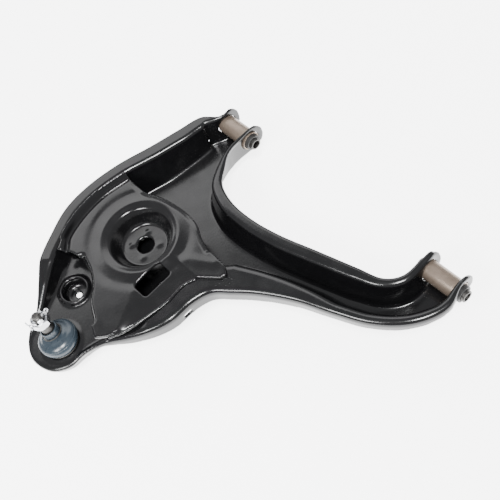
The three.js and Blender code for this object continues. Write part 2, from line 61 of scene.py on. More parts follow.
STRAIGHT_LEG_Y = -189.0
CURVED_LEG_Y = 205.0
FORK_INSIDE = 46.0
EAR_RADIUS = 25.0
EAR_HOLE = 14.8
FLOOR_END = 0.0  # the floor reaches the pivot axis between the ears
LIP_HOLE = ((246, -30, 30), (260, -10, 36))  # opposite corners of the slot in the near wall

BUSHING_RADIUS = 14.5
BUSHING_WALL = 2.0
INNER_SLEEVE_RADIUS = 8.5
PIVOT_BOLT_RADIUS = 6.2
BUSHING_GAP = 0.3  # clearance of the rubber from both sleeves

BALL = (400.0, -140.0, 10.0)
NOSE_TOP = 24.0
STUD_LEAN = math.radians(14)
HOUSING_RADIUS = 24.0
SWELL_HEIGHT = 1.6  # the nose swells this much next to the housing
SWELL_REACH = (27, 34)  # from full height to nothing

SEAT = (221.0, -156.0)
SEAT_TOP = 55.3
CUP_LIP = 54.0
CUP_BOTTOM = 32.0
CUP_DEPTH = 26.0
CUP_HOLE = 13.0
PLATE_SLOT = (254.0, -90.0)
PLATE_SLOT_SIZE = (48, 26, 5)  # length, width, corner radius
SHOCK_BOLT_SPACING = 44.0
SHOCK_BOLT_HOLE = 5.5

BUMP_STOP = (337.0, -187.0)
DISH_RADIUS = 18.0
DISH_BOTTOM = 8.0
DISH_HOLE = 4.0
DISH_WALL = 2.5
COLLAR_RADIUS = 24.0
COLLAR_HEIGHT = 5.0

JOINTS = {joint["name"]: joint for joint in frame["joints"]}
PIVOT = [1000 * value for value in JOINTS["straight_leg_pivot"]["pos_m"]]
ORIGIN = np.array([PIVOT[0], PIVOT[1] - STRAIGHT_LEG_Y, PIVOT[2] - PIVOT_HEIGHT])


def row(points):
    """Points in the arm's millimetres, as metres in the row frame."""
    return (np.asarray(points, float) + ORIGIN) / 1000


def row_vector(x, y, z):
    """One point in the arm's millimetres, as a vector in metres."""
    return Vector(row((x, y, z)))


# ------------------------------------------------------------------ mesh helpers
def smoothstep(low, high, value):
    share = np.clip((value - low) / (high - low), 0, 1)
    return share * share * (3 - 2 * share)


def new_object(name, points, faces, in_row_frame=False):
    mesh = bpy.data.meshes.new(name)
    placed = np.asarray(points, float) / 1000 if in_row_frame else row(points)
    mesh.from_pydata([tuple(p) for p in placed], [], [tuple(f) for f in faces])
    mesh.validate()
    obj = bpy.data.objects.new(name, mesh)
    bpy.context.scene.collection.objects.link(obj)
    return obj


def face_outward(obj):
    work = bmesh.new()
    work.from_mesh(obj.data)
    bmesh.ops.recalc_face_normals(work, faces=work.faces)
    work.to_mesh(obj.data)
    work.free()
    return obj


def apply_modifiers(obj):
    depsgraph = bpy.context.evaluated_depsgraph_get()
    made = bpy.data.meshes.new_from_object(obj.evaluated_get(depsgraph))
    obj.modifiers.clear()
    obj.data = made
    return obj


def combine(obj, other, operation):
    """Boolean of two solids; the second one is used up."""
    modifier = obj.modifiers.new("boolean", "BOOLEAN")
    modifier.operation = operation
    modifier.solver = "MANIFOLD"
    modifier.object = other
    apply_modifiers(obj)
    bpy.data.objects.remove(other)
    return obj


def remesh(obj, voxel, smooth_rounds):
    """Even skin with softly rounded edges, as a pressing has."""
    modifier = obj.modifiers.new("remesh", "REMESH")
    modifier.mode = "VOXEL"
    modifier.voxel_size = voxel / 1000
    modifier.use_smooth_shade = True
    soften = obj.modifiers.new("soften", "SMOOTH")
    soften.factor = 0.5
    soften.iterations = smooth_rounds
    return apply_modifiers(obj)


def shade_smooth(obj, angle=None):
    obj.data.polygons.foreach_set("use_smooth", [True] * len(obj.data.polygons))
    if angle is not None:
        obj.data.set_sharp_from_angle(angle=math.radians(angle))
    return obj


def skin(name, rings):
    """Skins closed rings of equal length; the first and last are capped."""
    rings = np.asarray(rings, float)
    levels, count = rings.shape[:2]
    faces = []
    for level in range(levels - 1):
        for index in range(count):
            after = (index + 1) % count
            low, high = level * count, (level + 1) * count
            faces.append((low + index, low + after, high + after, high + index))
    faces.append(tuple(reversed(range(count))))
    faces.append(tuple((levels - 1) * count + index for index in range(count)))
    return face_outward(new_object(name, rings.reshape(-1, 3), faces))


def prism(name, outline, low, high):
    outline = np.asarray(outline, float)
    rings = [np.c_[outline, np.full(len(outline), z)] for z in (low, high)]
    return skin(name, rings)


def circle(x, y, radius, count=64):
    angle = np.arange(count) * 2 * math.pi / count
    return np.c_[x + radius * np.cos(angle), y + radius * np.sin(angle)]


def post(x, y, radius, low, high, count=64):
    return prism("post", circle(x, y, radius, count), low, high)


def block(low, high):
    outline = [(low[0], low[1]), (high[0], low[1]), (high[0], high[1]), (low[0], high[1])]
    return prism("block", outline, low[2], high[2])


def rounded_rectangle(x, y, length, width, radius, steps=6):
    corners = []
    for quarter in range(4):
        corner_x = (length / 2 - radius) * (1 if quarter in (0, 3) else -1)
        corner_y = (width / 2 - radius) * (1 if quarter in (0, 1) else -1)
        for step in range(steps + 1):
            angle = math.pi / 2 * (quarter + step / steps)
            corners.append((x + corner_x + radius * math.cos(angle),
                            y + corner_y + radius * math.sin(angle)))
    return corners


def pivot_post(radius, low_y, high_y, count=64):
    """A cylinder on the pivot axis between two Y values."""
    angle = np.arange(count) * 2 * math.pi / count
    x = radius * np.cos(angle)
    z = PIVOT_HEIGHT + radius * np.sin(angle)
    return skin("pivot_post", [np.c_[x, np.full(count, y), z] for y in (low_y, high_y)])


def spline(points, per_span, closed=False):
    """Centripetal Catmull-Rom curve through rows of numbers, the first two of which are x and y."""
    points = np.asarray(points, float)
    count = len(points)
    if closed:
        ends = points
    else:
        ends = np.vstack([2 * points[0] - points[1], points, 2 * points[-1] - points[-2]])
    result = []
    for span in range(count if closed else count - 1):
        picks = [(span - 1 + k) % count for k in range(4)] if closed else range(span, span + 4)
        p = [ends[k] for k in picks]
        knots = [math.sqrt(max(np.linalg.norm(p[k + 1][:2] - p[k][:2]), 1e-6)) for k in range(3)]
        leave = (p[1] - p[0]) / knots[0] - (p[2] - p[0]) / (knots[0] + knots[1]) + (p[2] - p[1]) / knots[1]
        arrive = (p[2] - p[1]) / knots[1] - (p[3] - p[1]) / (knots[1] + knots[2]) + (p[3] - p[2]) / knots[2]
        leave, arrive = leave * knots[1], arrive * knots[1]
        for step in range(per_span):
            t = step / per_span
            result.append((2 * t**3 - 3 * t**2 + 1) * p[1] + (t**3 - 2 * t**2 + t) * leave
                          + (3 * t**2 - 2 * t**3) * p[2] + (t**3 - t**2) * arrive)
    if not closed:
        result.append(points[-1])
    return np.array(result)


def arc(centre, radius, start, end, steps):
    """Points of an arc in [inset, height], angles in degrees from the inset axis."""
    angles = np.radians(np.linspace(start, end, steps + 1))
    return [(centre[0] + radius * math.cos(a), centre[1] + radius * math.sin(a)) for a in angles]


# ------------------------------------------------------------------ turned pieces
def turned(name, profile, segments=96):
    """A solid turned about the local Z axis from a closed list of [radius, height], at the origin."""
    profile = [tuple(point) for point in profile]
    if profile[0] == profile[-1]:
        profile = profile[:-1]
    on_axis = [abs(radius) < 1e-6 for radius, _ in profile]
    points, index = [], []
    for (radius, height), axial in zip(profile, on_axis):
        ring = []
        for segment in range(1 if axial else segments):
            angle = segment * 2 * math.pi / segments
            ring.append(len(points))
            points.append((radius * math.cos(angle), radius * math.sin(angle), height))
        index.append(ring)
    faces = []
    count = len(profile)
    for place in range(count):
        here, there = index[place], index[(place + 1) % count]
        if len(here) == 1 and len(there) == 1:
            continue
        for segment in range(segments):
            after = (segment + 1) % segments
            loop = [here[segment % len(here)], here[after % len(here)],
                    there[after % len(there)], there[segment % len(there)]]
            faces.append(list(dict.fromkeys(loop)))
    obj = new_object(name, points, faces, in_row_frame=True)
    return face_outward(obj)


def rounded(profile, radius, steps=3):
    """Rounds every corner of a closed profile by up to the given radius, except on the axis."""
    profile = [np.array(point, float) for point in profile]
    result = []
    for place, corner in enumerate(profile):
        before, after = profile[place - 1], profile[(place + 1) % len(profile)]
        if abs(corner[0]) < 1e-6:
            result.append(tuple(corner))
            continue
        reach = min(radius, 0.45 * np.linalg.norm(before - corner), 0.45 * np.linalg.norm(after - corner))
        start = corner + reach * (before - corner) / np.linalg.norm(before - corner)
        end = corner + reach * (after - corner) / np.linalg.norm(after - corner)
        for step in range(steps + 1):
            t = step / steps
            result.append(tuple((1 - t)**2 * start + 2 * t * (1 - t) * corner + t**2 * end))
    return result


def stand(obj, place, tilt=None):
    """Moves a piece made at the origin to its place, with its own turn first."""
    matrix = Matrix.Translation(row_vector(*place))
    if tilt is not None:
        matrix = matrix @ tilt
    obj.data.transform(matrix)
    return obj


# ------------------------------------------------------------------ the shell's rim
# x, y, flange width, lip height, lean of the wall and rim height at each station.
RIM_STATIONS = [
    # outer side of the straight leg, from the ear to the nose
    (-30, -216.5, 0.2, 1, 1, RIM), (2, -217.5, 0.5, 1, 1, RIM), (22, -242, 18, 1, 4, RIM),
    (60, -254, 21, 1, 8, RIM), (105, -267, 21, 1, 14, RIM), (160, -285, 20, 1, 16, RIM),
    (215, -294, 20, 1, 16, RIM), (262, -291, 20, 1, 16, RIM), (305, -274, 20, 1, 16, RIM),
    (342, -254, 20, 1, 14, RIM), (368, -228, 12, 1, 10, 44), (398, -202, 5, 1, 6, 33),
    # the nose, round the ball joint
    (430, -184, 1, 1, 4, 26), (446, -154, 1, 1, 3, 24), (438, -118, 1, 1, 3, 24),
    (415, -101, 1, 1, 3, 24), (388, -98, 1, 1, 3, 26),
    # near side, past the spring seat
    (362, -84, 6, 6, 5, 33), (338, -60, 16, 14, 7, 42), (310, -38, 26, 18, 8, 48),
    (278, -24, 32, 20, 8, RIM), (240, -21, 34, 20, 8, RIM), (215, -12, 38, 20, 8, RIM),
    (198, 8, 42, 20, 8, RIM), (176, 38, 33, 20, 8, RIM),
    # outer side of the curved leg
    (150, 86, 22, 18, 8, RIM), (132, 135, 14, 16, 8, RIM), (113, 180, 13, 15, 8, RIM),
    (88, 214, 13, 14, 7, RIM), (60, 235, 13, 12, 5, RIM), (30, 244, 11, 10, 3, RIM),
    (0, 235.5, 3, 5, 1, RIM), (-30, 232.5, 0.2, 1, 1, RIM),
    # inner side of the curved leg, round the gap between the legs
    (-30, 177.5, 0.2, 1, 1, RIM), (0, 171.5, 6, 1, 1, RIM), (34, 168, 9, 1, 3, RIM),
    (52, 152, 10, 1, 5, RIM), (62, 115, 14, 1, 8, RIM), (77, 55, 16, 1, 8, RIM), (91, 0, 16, 1, 8, RIM),
    (98, -50, 15, 1, 8, RIM), (96, -95, 15, 1, 8, RIM), (84, -127, 13, 1, 8, RIM),
    (63, -144, 10, 1, 6, RIM), (40, -158.5, 3, 1, 3, RIM), (0, -161.5, 0.2, 1, 1, RIM),
    (-30, -161.5, 0.2, 1, 1, RIM),
]
SAMPLES_PER_SPAN = 8
PLUG_TOP = 80.0  # the solids reach up to here before the channel is cut out


def rim_samples():
    """Smooth positions round the rim with linear sizes, and the outward direction at each."""
    path = spline(np.array(RIM_STATIONS)[:, :2], SAMPLES_PER_SPAN, closed=True)
    along = np.roll(path, -1, axis=0) - np.roll(path, 1, axis=0)
    along /= np.linalg.norm(along, axis=1)[:, None]
    outward = np.c_[along[:, 1], -along[:, 0]]
    sizes = np.array(RIM_STATIONS)[:, 2:]
    blend = (np.arange(SAMPLES_PER_SPAN) / SAMPLES_PER_SPAN)[None, :, None]
    following = np.roll(sizes, -1, axis=0)
    mixed = (sizes[:, None] * (1 - blend) + following[:, None] * blend).reshape(-1, 4)
    return path, outward, mixed


def loft_over_rim(name, section):
    """Skins a section, drawn as [inset, height], round the whole rim."""
    path, outward, sizes = rim_samples()
    rings = []
    for point, out, size in zip(path, outward, sizes):
        bend = float(np.clip((point[0] + 20) / 8, 0.6, 7.5 if size[1] > 7 else 4.5))
        rings.append([(*(point - out * inset), height) for inset, height in section(*size, bend)])
    return skin(name, np.array(rings).transpose(1, 0, 2))


def outer_skin():
    """The whole pressing with its rolled rim and outside walls, filled up to PLUG_TOP."""
    def section(flange, lip, lean, height, bend):
        ledge = min(SHEET, flange * 0.5 + 0.3)
        foot = flange + lean
        return [
            (foot + 8, 0), (foot + 4, 1), (foot + 1.6, 3), (foot + 1, 6),
            (flange, height - SHEET), (min(SHEET, flange * 0.5), height - SHEET),
            (ledge, height - SHEET - lip), (0, height - SHEET - lip),
            *arc((bend, height - bend), bend, 180, 90, 6),
            (flange + SHEET + 1.5, height), (flange + SHEET + 2, PLUG_TOP),
        ]
    return loft_over_rim("outer_skin", section)


def inner_pocket():
    """The channel's hollow, which is cut out from above."""
    def section(flange, lip, lean, height, bend):
        wall = flange + SHEET
        bend = min(bend + 3, wall - 1)
        return [
            (wall + lean + 6, SHEET), (wall + lean + 3, SHEET + 1.2), (wall + lean + 1, SHEET + 5),
            *arc((wall - bend, height - bend), bend, 0, 90, 6), (wall - bend, PLUG_TOP + 20),
        ]
    return loft_over_rim("inner_pocket", section)


def under_nose():
    """The space inside the walls, which is cut out from below under the nose."""
    def section(flange, lip, lean, height, bend):
        wall = flange + SHEET + lean
        return [(wall, -20), (wall + 1, NOSE_TOP - SHEET), (wall + 2, PLUG_TOP)]
    return loft_over_rim("under_nose", section)


SEAT_EDGE = [(314, -240), (304, -222), (300, -199), (307, -176), (320, -155), (338, -137), (352, -112)]
SEAT_STEP = 6  # the step stands this far inboard of the plate's edge
NOSE_UNDERSIDE = 4  # the walls round the nose end this far above the floor's underside


def outboard_region(shift, low, high):
    """Everything outboard of the floor's step, as a solid."""
    edge = spline(SEAT_EDGE, 6) + [shift - SEAT_STEP, 0]
    outline = [(300 + shift, -320), *edge, (372 + shift, -60), (380 + shift, 0), (520, 0), (520, -320)]
    return prism("outboard", outline, low, high)


def cut_fork(shell, centre_y):
    """Opens the channel's end, rounds its two ears about the pivot axis and bores them."""
    inside = block((-60, centre_y - FORK_INSIDE / 2, -5), (FLOOR_END, centre_y + FORK_INSIDE / 2, PLUG_TOP))
    beyond = block((-60, centre_y - 60, -20), (0, centre_y + 60, PLUG_TOP + 10))
    beyond = combine(beyond, pivot_post(EAR_RADIUS, centre_y - 70, centre_y + 70), "DIFFERENCE")
    hole = pivot_post(EAR_HOLE, centre_y - 59, centre_y + 59)
    for cutter in (inside, beyond, hole):
        combine(shell, cutter, "DIFFERENCE")


def read_points(obj):
    """Every vertex of a piece, in the arm's millimetres."""
    points = np.empty(len(obj.data.vertices) * 3)
    obj.data.vertices.foreach_get("co", points)
    return points.reshape(-1, 3) * 1000 - ORIGIN


def write_points(obj, points):
    obj.data.vertices.foreach_set("co", row(points).ravel())
    obj.data.update()


def swell_round_housing(obj):
    """Raises the nose's top a little in a ring round the ball joint housing."""
    points = read_points(obj)
    reach = np.hypot(points[:, 0] - BALL[0], points[:, 1] - BALL[1])
    near_top = smoothstep(NOSE_TOP - 6, NOSE_TOP - 1, points[:, 2]) * (points[:, 2] < NOSE_TOP + 3)
    points[:, 2] += SWELL_HEIGHT * near_top * (1 - smoothstep(*SWELL_REACH, reach))
    write_points(obj, points)


def bump_stop_dish():
    """The collar round the bump stop's seat and the dish below it, with a small hole in its floor."""
    outside = DISH_RADIUS + DISH_WALL
    floor = DISH_BOTTOM + DISH_WALL
    top = NOSE_TOP + COLLAR_HEIGHT
    root = NOSE_TOP - 1
    profile = [(DISH_HOLE, DISH_BOTTOM), (outside - 4, DISH_BOTTOM), (outside, DISH_BOTTOM + 4),
               (outside, root), (COLLAR_RADIUS, root), (COLLAR_RADIUS, top - 2.5),
               (COLLAR_RADIUS - 2.5, top), (DISH_RADIUS + 1, top), (DISH_RADIUS, top - 1),
               (DISH_RADIUS, DISH_BOTTOM + 6), (DISH_RADIUS - 4, floor), (DISH_HOLE, floor)]
    return stand(turned("dish", profile), (*BUMP_STOP, 0))


def main_shell():
    """The wishbone pressing, rounded all over by the remesh."""
    shell = outer_skin()
    pocket = combine(inner_pocket(), outboard_region(0, -30, NOSE_TOP), "DIFFERENCE")
    hollow = combine(under_nose(), outboard_region(SHEET, -30, NOSE_TOP - SHEET), "INTERSECT")
    combine(shell, pocket, "DIFFERENCE")
    combine(shell, hollow, "DIFFERENCE")
    for centre_y in (STRAIGHT_LEG_Y, CURVED_LEG_Y):
        cut_fork(shell, centre_y)
    holes = [
        post(*BUMP_STOP, DISH_RADIUS, -1, NOSE_TOP + 20),
        post(BALL[0], BALL[1], HOUSING_RADIUS + 0.3, -30, 60),
        post(SEAT[0] - SHOCK_BOLT_SPACING / 2, SEAT[1], SHOCK_BOLT_HOLE, -5, SHEET + 5),
        post(SEAT[0] + SHOCK_BOLT_SPACING / 2, SEAT[1], SHOCK_BOLT_HOLE, -5, SHEET + 5),
        block(*LIP_HOLE),
    ]
    for hole in holes:
        combine(shell, hole, "DIFFERENCE")
    combine(shell, outboard_region(SHEET - 1, -30, NOSE_UNDERSIDE), "DIFFERENCE")
    combine(shell, bump_stop_dish(), "UNION")
    remesh(shell, 1.5, 7)
    swell_round_housing(shell)
    return shell


# ------------------------------------------------------------------ spring seat plate
RIDGE = [(224, -103), (270, -106), (300, -91), (337, -70)]
NEAR_EDGE = [(365, -86), (352, -74), (331, -63), (292, -54), (262, -49), (231, -50), (212, -42)]
LEFT_EDGE = [(164, -257), (215, -266.5), (262, -263), (298, -251)]
TAIL = [(191, -14), (182, -12), (174, -24)]
INNER_EDGE = [(172, -62), (165, -84), (155, -104), (151, -130), (153, -160), (158, -186),
              (166, -208), (167, -236)]
SECOND_RIDGE = [(221, -99), (200, -70), (182, -38)]
SEAT_GAP = 0.3  # the plate lies this far above the shell's rim
CUP_MOUTH_DROP = 3  # the plate dips this much at the lip before the cup's wall falls away
CUP_WALL = 17  # the wall runs over this much radius
KNOB_CIRCLE = 21
TURN_DOWN = 26.0
TURN_DOWN_WIDTH = 10


def distance_to(points, line):
    """Distance of plan points from an open run of points."""
    line = np.asarray(line, float)
    nearest = np.full(len(points), 1e9)
    for start, end in zip(line[:-1], line[1:]):
        along = end - start
        share = np.clip(((points - start) @ along) / (along @ along), 0, 1)
        foot = start + share[:, None] * along
        nearest = np.minimum(nearest, np.linalg.norm(points - foot, axis=1))
    return nearest


def swelling(distance, height, width):
    """A rounded ridge, or a groove if the height is negative, that fades with distance."""
    return height * np.exp(-(distance / width) ** 2)


def cup_height(plan):
    """The spring cup with its low lip, the ring-shaped hollow round it and four knobs round its hole."""
    reach = np.hypot(plan[:, 0] - SEAT[0], plan[:, 1] - SEAT[1])
    height = (CUP_MOUTH_DROP - CUP_DEPTH) * (1 - smoothstep(CUP_BOTTOM, CUP_BOTTOM + CUP_WALL, reach))
    height -= CUP_MOUTH_DROP * (1 - smoothstep(CUP_LIP - 10, CUP_LIP + 6, reach))
    height += swelling(reach - CUP_LIP - 4, 0.8, 5)
    height += swelling(reach - CUP_LIP - 20, -1.0, 8)
    for angle in np.radians([40, 130, 220, 310]):
        east = plan[:, 0] - SEAT[0] - KNOB_CIRCLE * math.cos(angle)
        north = plan[:, 1] - SEAT[1] - KNOB_CIRCLE * math.sin(angle)
        height += swelling(np.hypot(east, north), 0.9, 4)
    return height


def apron_height(plan):
    """The slope that falls from the ridge to the near edge, and the second ridge beside it."""
    near = distance_to(plan, spline(NEAR_EDGE, 6))
    ridge = distance_to(plan, spline(RIDGE, 6))
    fall = -4.0 * smoothstep(0, 1, ridge / (ridge + near + 1e-6)) * (near < 70)
    beyond_ridge = plan[:, 1] > np.interp(plan[:, 0], [224, 270, 300, 337], [-103, -106, -91, -70])
    fall = np.where(beyond_ridge & (plan[:, 0] > 212), fall, 0)
    return fall + swelling(distance_to(plan, SECOND_RIDGE), 0.8, 7)


def edge_height(plan):
    """The upturned far edge with a groove along it, the eased inner edge and the outboard turn-down."""
    inner = -2.5 * (1 - smoothstep(0, 9, distance_to(plan, spline(INNER_EDGE, 6))))
    upturn = 5.0 * (1 - smoothstep(0.5, 6, distance_to(plan, spline(LEFT_EDGE, 6))))
    groove = swelling(distance_to(plan, spline([*LEFT_EDGE, (312, -238)], 6)) - 10, -7.0, 4.5)
    outboard = np.clip(distance_to(plan, spline(SEAT_EDGE[2:], 6)) / TURN_DOWN_WIDTH, 0, 1)
    return inner + upturn + groove - TURN_DOWN * (1 - np.sqrt(1 - (1 - outboard) ** 2))


def spring_seat_plate():
    """A flat plate with its slot and hole, pressed into shape by the three height functions."""
    outline = np.vstack([spline(LEFT_EDGE, 6)[:-1], spline(SEAT_EDGE, 6), NEAR_EDGE, TAIL,
                         spline(INNER_EDGE, 5)])
    plate = prism("spring_seat_plate_look", outline, RIM + SEAT_GAP, SEAT_TOP)
    slot = prism("slot", rounded_rectangle(*PLATE_SLOT, *PLATE_SLOT_SIZE), 0, 90)
    combine(plate, slot, "DIFFERENCE")
    combine(plate, post(*SEAT, CUP_HOLE, 0, 90), "DIFFERENCE")
    remesh(plate, 1.2, 5)
    points = read_points(plate)
    plan = points[:, :2]
    points[:, 2] += cup_height(plan) + apron_height(plan) + edge_height(plan)
    write_points(plate, points)
    return plate


# ------------------------------------------------------------------ ball joint, heights above the ball
LEAN = Matrix.Rotation(STUD_LEAN, 4, "X")
STUD_TIP = 78.0
THREAD_RADIUS = 7.0
THREAD_ROOT = 6.1
THREAD_PITCH = 1.5
NUT_BOTTOM = 58.0
NUT_HEIGHT = 16.0
NUT_ACROSS_FLATS = 24.0
PIN_HEIGHT = 71.0
NOSE_LEVEL = NOSE_TOP - BALL[2]


def sphere_arc(radius, start, end, steps):
    """Profile points on a sphere round the ball centre, angles in degrees from straight up."""
    angles = np.radians(np.linspace(start, end, steps + 1))
    return [(radius * math.sin(a), radius * math.cos(a)) for a in angles]


def housing():
    bottom = -20.9
    shoulder = NOSE_LEVEL - SHEET - 0.3
    profile = [*sphere_arc(16.3, 54.8, 90, 12), (16.3, -18), (21, -18), (21, bottom), (23.2, bottom),
               (27, -17.3), (27, shoulder), (HOUSING_RADIUS, shoulder), (HOUSING_RADIUS, NOSE_LEVEL),
               (21, NOSE_LEVEL), (21, NOSE_LEVEL + 2), (17, NOSE_LEVEL + 2)]
    return stand(turned("housing_look", profile), BALL)


def ball_race():
    profile = [*sphere_arc(16, 48, 150, 20), *sphere_arc(13.3, 150, 48, 20)]
    return stand(turned("race_look", profile), BALL, LEAN)


def preload_washer():
    profile = rounded([(5, -17.7), (15.5, -17.7), (15.5, -16.4), (5, -16.9)], 0.3)
    return stand(turned("washer_look", profile), BALL)


def cover():
    profile = rounded([(3.4, -18.3), (3.4, -20.6), (15, -20.6), (16, -21.2), (18, -21.2), (19, -20.6),
                       (20.7, -20.6), (20.7, -18.3)], 0.5)
    return stand(turned("cover_look", profile), BALL)


def grease_fitting():
    profile = rounded([(0, -18.3), (3, -18.3), (3, -20.9), (4.6, -20.9), (4.6, -24.6), (2.2, -25.6),
                       (2.9, -27.6), (1.6, -29), (0.6, -29), (0.6, -28.4), (0, -28.4)], 0.35)
    return stand(turned("fitting_look", profile, 48), BALL)


def ball_stud():
    """Ball, neck, taper and thread in one, with the cotter pin's hole across the thread."""
    thread = [(THREAD_RADIUS, NUT_BOTTOM - 1)]
    height = NUT_BOTTOM - 0.5
    while height + THREAD_PITCH < STUD_TIP - 1.5:
        thread += [(THREAD_ROOT, height), (THREAD_RADIUS, height + THREAD_PITCH / 2)]
        height += THREAD_PITCH
    profile = [*sphere_arc(13, 180, 32.6, 24), (7, 23), (10, 30), (10, 38), (8.2, 56), *thread,
               (THREAD_ROOT, height), (5.6, STUD_TIP), (2.5, STUD_TIP),
               (2.2, STUD_TIP - 0.6), (0, STUD_TIP - 0.6)]
    stud = turned("stud_look", profile)
    hole = turned("pin_hole", [(0, -20), (1.9, -20), (1.9, 20), (0, 20)], 24)
    turn = Matrix.Rotation(math.pi / 2, 4, "Y")
    hole.data.transform(Matrix.Translation((0, 0, PIN_HEIGHT / 1000)) @ turn)
    return stand(combine(stud, hole, "DIFFERENCE"), BALL, LEAN)


def at_origin(obj):
    """A piece drawn with row() is moved so that its own zero is the row frame's."""
    obj.data.transform(Matrix.Translation(-row_vector(0, 0, 0)))
    return obj


def castle_nut():
    """A hexagon turned down to a round castellated crown, with a slot across each pair of flats."""
    corner = NUT_ACROSS_FLATS / math.sqrt(3)
    top = NUT_BOTTOM + NUT_HEIGHT
    crown = top - 6.5
    nut = at_origin(prism("castle_nut_look", circle(0, 0, corner, 6), NUT_BOTTOM - 1, top + 1))
    cone = [(0, NUT_BOTTOM), (corner - 1.6, NUT_BOTTOM), (corner + 0.4, NUT_BOTTOM + 1.6),
            (corner + 0.4, crown - 1.8), (corner - 1.9, crown), (11.2, crown), (10.8, crown + 0.4),
            (10.8, top - 0.9), (9.9, top), (0, top)]
    combine(nut, turned("nut_cone", cone), "INTERSECT")
    bore = [(0, NUT_BOTTOM - 2), (8.6, NUT_BOTTOM - 2), (7.3, NUT_BOTTOM + 0.9),
            (7.3, top - 0.9), (8.4, top + 2), (0, top + 2)]
    combine(nut, turned("nut_bore", bore), "DIFFERENCE")
    for side in range(3):
        slot = at_origin(block((-20, -2, top - 6), (20, 2, top + 6)))
        slot.data.transform(Matrix.Rotation(side * math.pi / 3, 4, "Z"))
        combine(nut, slot, "DIFFERENCE")
    return stand(nut, BALL, LEAN)


def tube(name, route, radius, sides=16, closed=False):
    """A round bar along a route in local millimetres."""
    route = np.asarray(route, float)
    count = len(route)
    rings = []
    side_way = None
    for place, point in enumerate(route):
        ahead = route[(place + 1) % count] if closed or place + 1 < count else point
        behind = route[place - 1] if closed or place else point
        along = Vector(ahead - behind).normalized()
        if side_way is None:
            side_way = along.orthogonal()
        side_way = (side_way - along * side_way.dot(along)).normalized()
        other = along.cross(side_way)
        ring = []
        for side in range(sides):
            angle = side * 2 * math.pi / sides
            ring.append(Vector(point) + radius * (math.cos(angle) * side_way + math.sin(angle) * other))
        rings.append(ring)
    if closed:
        points = np.array(rings).reshape(-1, 3)
        faces = [(level * sides + side, level * sides + (side + 1) % sides,
                  (level + 1) % count * sides + (side + 1) % sides, (level + 1) % count * sides + side)
                 for level in range(count) for side in range(sides)]
        return face_outward(new_object(name, points, faces, in_row_frame=True))
    return at_origin(skin(name, rings))


def wire_ring(name, radius, height, wire, tilt=None):
    """A closed ring of round wire about the ball joint's axis."""
    ring = circle(0, 0, radius, 72)
    route = np.c_[ring, np.full(len(ring), height)]
    return stand(tube(name, route, wire, 12, closed=True), BALL, tilt)


def cotter_pin():
    """The pin's shank through the stud, its eye on one side and its two tails bent on the other."""
    reach = 13
    tails = []
    for sign in (1, -1):
        bend = [(reach - 2, 0, PIN_HEIGHT), (reach + 1.2, 0, PIN_HEIGHT + 0.5 * sign),
                (reach + 2.6, 0, PIN_HEIGHT + 3 * sign), (reach + 2.4, 0, PIN_HEIGHT + 8.5 * sign)]
        tails.append(tube("tail", spline_3d(bend, 6), 1.05))
    eye = [(-reach - 2.4 + 2.6 * math.cos(a), 0, PIN_HEIGHT + 2.6 * math.sin(a))
           for a in np.linspace(0, 2 * math.pi, 24, endpoint=False)]
    shank = [(x, 0, PIN_HEIGHT) for x in (-reach, 0, reach)]
    pin = tube("cotter_pin_look", shank, 1.4)
    for other in (*tails, tube("eye", eye, 1.1, closed=True)):
        combine(pin, other, "UNION")
    return stand(pin, BALL, LEAN)


def spline_3d(points, per_span):
    """Smooth curve through points that lie in one XZ plane."""
    swapped = [(x, z, y) for x, y, z in points]
    return [(x, y, z) for x, z, y in spline(swapped, per_span)]


BOOT_OUTSIDE = [(24, 14.3), (24, 18), (27.2, 20.4), (29, 23.2), (28.4, 26.6), (25.2, 29.4), (21.6, 30.6),
                (18.4, 32.2), (15, 33), (12.7, 34.4), (12.4, 38), (12.4, 45)]
BOOT_INSIDE = [(10.6, 45), (10.4, 38), (10.3, 31.6), (14, 30.8), (18, 29.8), (21.6, 28.6), (24.6, 27),
               (26.6, 24.5), (26, 22.2), (22.4, 19.6), (21.3, 14.3)]
BOOT_SPLIT_OUTSIDE = 4  # the profile points where the lower and the upper length meet, on the bulge
BOOT_SPLIT_INSIDE = 7
BOOT_STEPS = 5
CLAMP_WIRE = 1.1
CLAMP_HEIGHT = 16.6
TOP_WIRE = 0.9
TOP_RING_RADIUS = 13.9
TOP_RING_HEIGHT = 35.2


def boot(name, lower):
    """The boot stands square on the housing and bends over to follow the leaning stud. It is made in
    two lengths that meet on the bulge."""
    outside = list(spline(BOOT_OUTSIDE, BOOT_STEPS))
    inside = list(spline(BOOT_INSIDE, BOOT_STEPS))
    outer, inner = BOOT_SPLIT_OUTSIDE * BOOT_STEPS, BOOT_SPLIT_INSIDE * BOOT_STEPS
    profile = outside[:outer + 1] + inside[inner:] if lower else outside[outer:] + inside[:inner + 1]
    piece = turned(name, profile)
    for vertex in piece.data.vertices:
        share = float(smoothstep(19, 31, vertex.co.z * 1000))
        vertex.co = Matrix.Rotation(STUD_LEAN * share, 3, "X") @ vertex.co
    return stand(piece, BALL)


# ------------------------------------------------------------------ pivot bushings
SLEEVE_HALF = 28.5  # half lengths along the pivot axis
RUBBER_HALF = 34.5
INNER_SLEEVE_HALF = 39.5
TUBE_CORNER = 0.8


def pivot_tube(name, centre_y, inner, outer, half):
    """A tube on the pivot axis with softly rounded corners."""
    profile = rounded([(inner, -half), (outer, -half), (outer, half), (inner, half)], TUBE_CORNER, 4)
    piece = turned(name, profile)
    return stand(piece, (0, centre_y, PIVOT_HEIGHT), Matrix.Rotation(math.pi / 2, 4, "X"))


# ------------------------------------------------------------------ welds
SPATTER_SEED = 4
SPATTER_CENTRE = (186, -4)
SPATTER_SPREAD = (7, 5)


